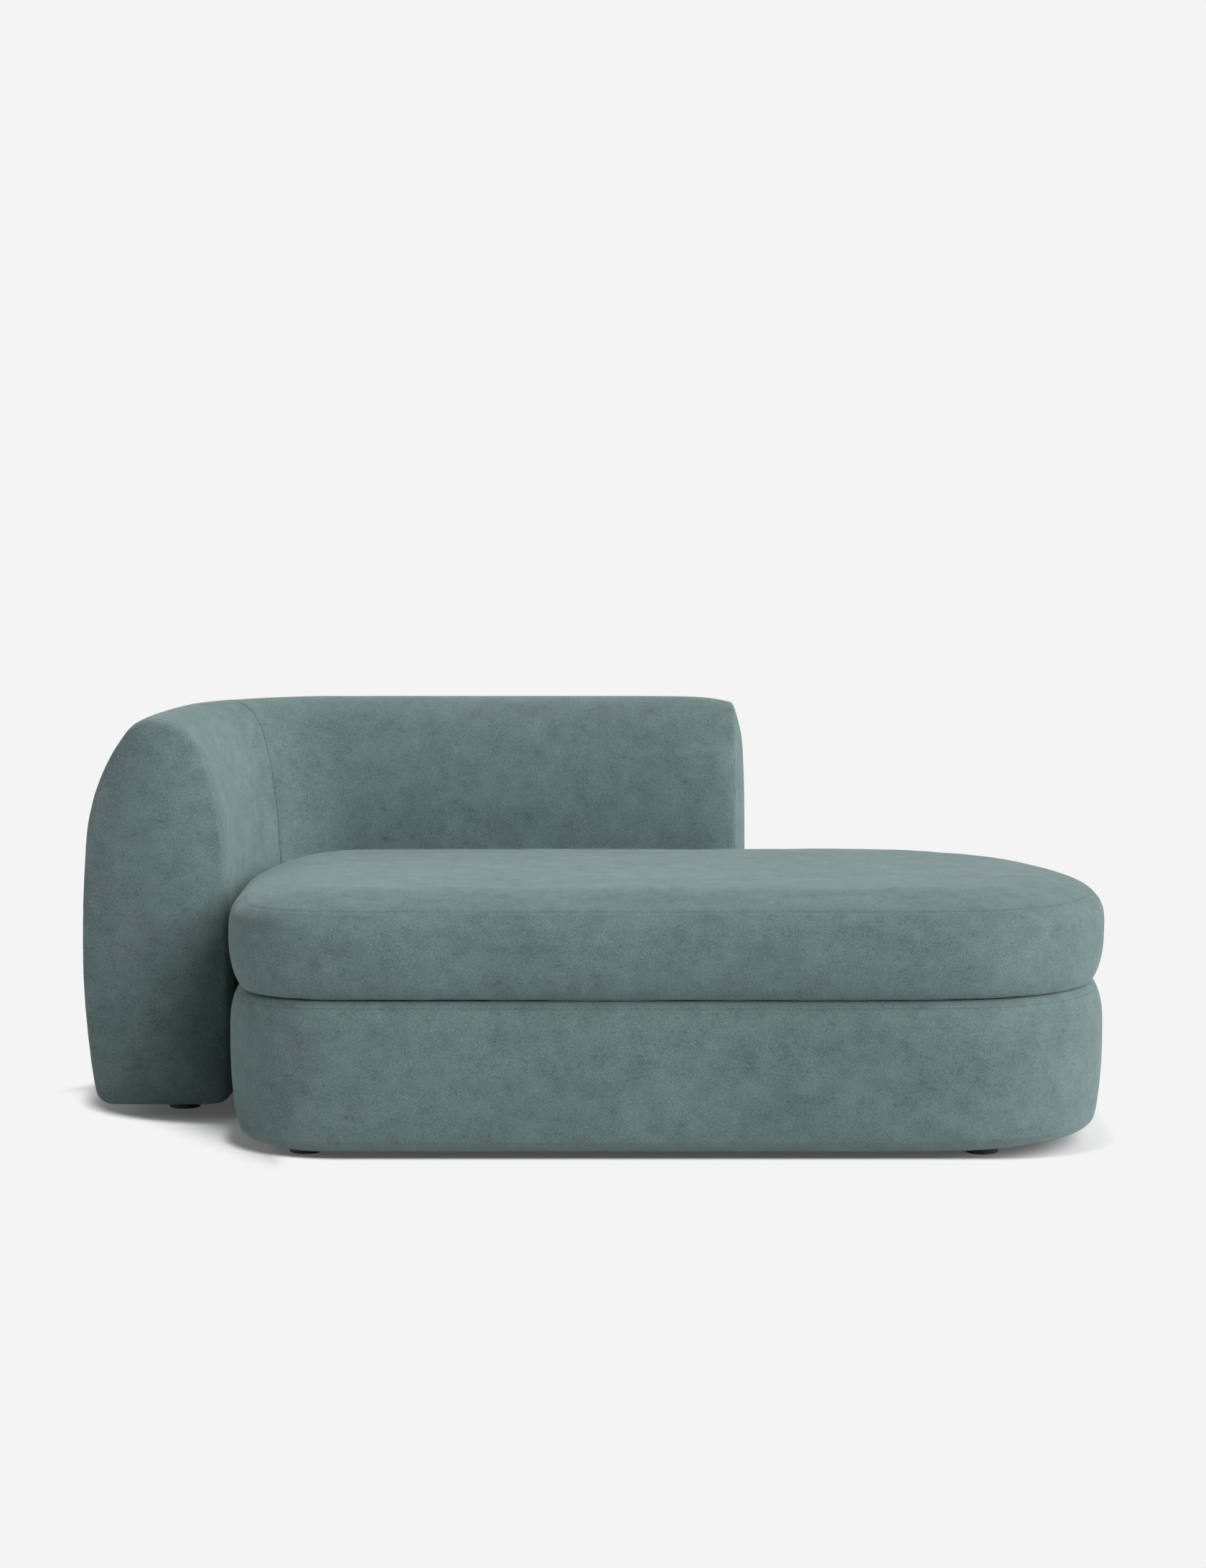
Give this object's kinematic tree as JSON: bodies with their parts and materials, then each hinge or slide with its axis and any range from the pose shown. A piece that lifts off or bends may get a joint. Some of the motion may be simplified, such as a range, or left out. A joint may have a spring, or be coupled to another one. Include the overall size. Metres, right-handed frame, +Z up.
{
  "type": "chaise longue",
  "caption": "Low chaise longue with a rounded oblong seat, a loose seat cushion and a rounded backrest that curves round one corner into a short arm, on low puck feet",
  "frame": {"origin": "centre of the footprint's bounding box, on the floor under the feet", "axes": "+X to the right of the long side as the picture shows it, +Y to the back (the backrest's side), +Z up"},
  "size_m": [1.792, 1.121, 0.716],
  "materials": {
    "upholstery": "soft short-pile velvet with a mottled nap, muted green-blue",
    "foam": "open-cell upholstery foam, cream",
    "wadding": "matt polyester wadding, white",
    "frame_wood": "raw birch plywood",
    "webbing": "elastic seat webbing, dark grey",
    "dust_cover": "thin black non-woven sheet",
    "feet": "matt black plastic",
    "fasteners": "zinc-plated steel"
  },
  "bodies": {
    "chaise": {"seat_bottom_plate": "frame_wood", "seat_skirt_board": "frame_wood", "seat_back_rail": "frame_wood", "seat_front_rail": "frame_wood", "seat_rib_1": "frame_wood", "seat_rib_2": "frame_wood", "seat_rib_3": "frame_wood", "seat_rib_4": "frame_wood", "seat_rib_5": "frame_wood", "deck_left_end": "frame_wood", "deck_right_end": "frame_wood", "deck_front_rail": "frame_wood", "deck_back_rail": "frame_wood", "back_bottom_plate": "frame_wood", "back_top_rail": "frame_wood", "back_inner_board": "frame_wood", "back_outer_board": "frame_wood", "back_joining_rail": "frame_wood", "back_rib_1": "frame_wood", "back_rib_2": "frame_wood", "back_rib_3": "frame_wood", "back_rib_4": "frame_wood", "back_rib_5": "frame_wood", "back_rib_6": "frame_wood", "back_rib_7": "frame_wood", "seat_web_1": "webbing", "seat_web_2": "webbing", "seat_web_3": "webbing", "seat_web_4": "webbing", "seat_web_5": "webbing", "seat_web_6": "webbing", "seat_web_7": "webbing", "deck_pad": "wadding", "base_side_foam": "foam", "back_foam": "foam", "base_side_panel": "upholstery", "base_top_panel": "upholstery", "arm_cover": "upholstery", "back_cover": "upholstery", "arm_end_panel": "upholstery", "back_end_panel": "upholstery", "seat_dust_cover": "dust_cover", "back_dust_cover": "dust_cover", "seat_foot_front_left": "feet", "seat_foot_front_right": "feet", "seat_foot_back_left": "feet", "seat_foot_back_right": "feet", "back_foot_arm": "feet", "back_foot_corner": "feet", "back_foot_middle": "feet", "back_foot_right": "feet", "foot_screws": "fasteners", "joining_bolts": "fasteners", "joining_nuts": "fasteners"},
    "seat_cushion": {"cushion_bottom_panel": "upholstery", "cushion_side_band": "upholstery", "cushion_top_panel": "upholstery", "cushion_wrap": "wadding", "cushion_core": "foam"}
  },
  "joints": [
    {"name": "cushion_lift", "type": "slide", "parent": "chaise", "child": "seat_cushion", "axis": [0, 0, 1], "range_m": [0, 0.3]}
  ]
}
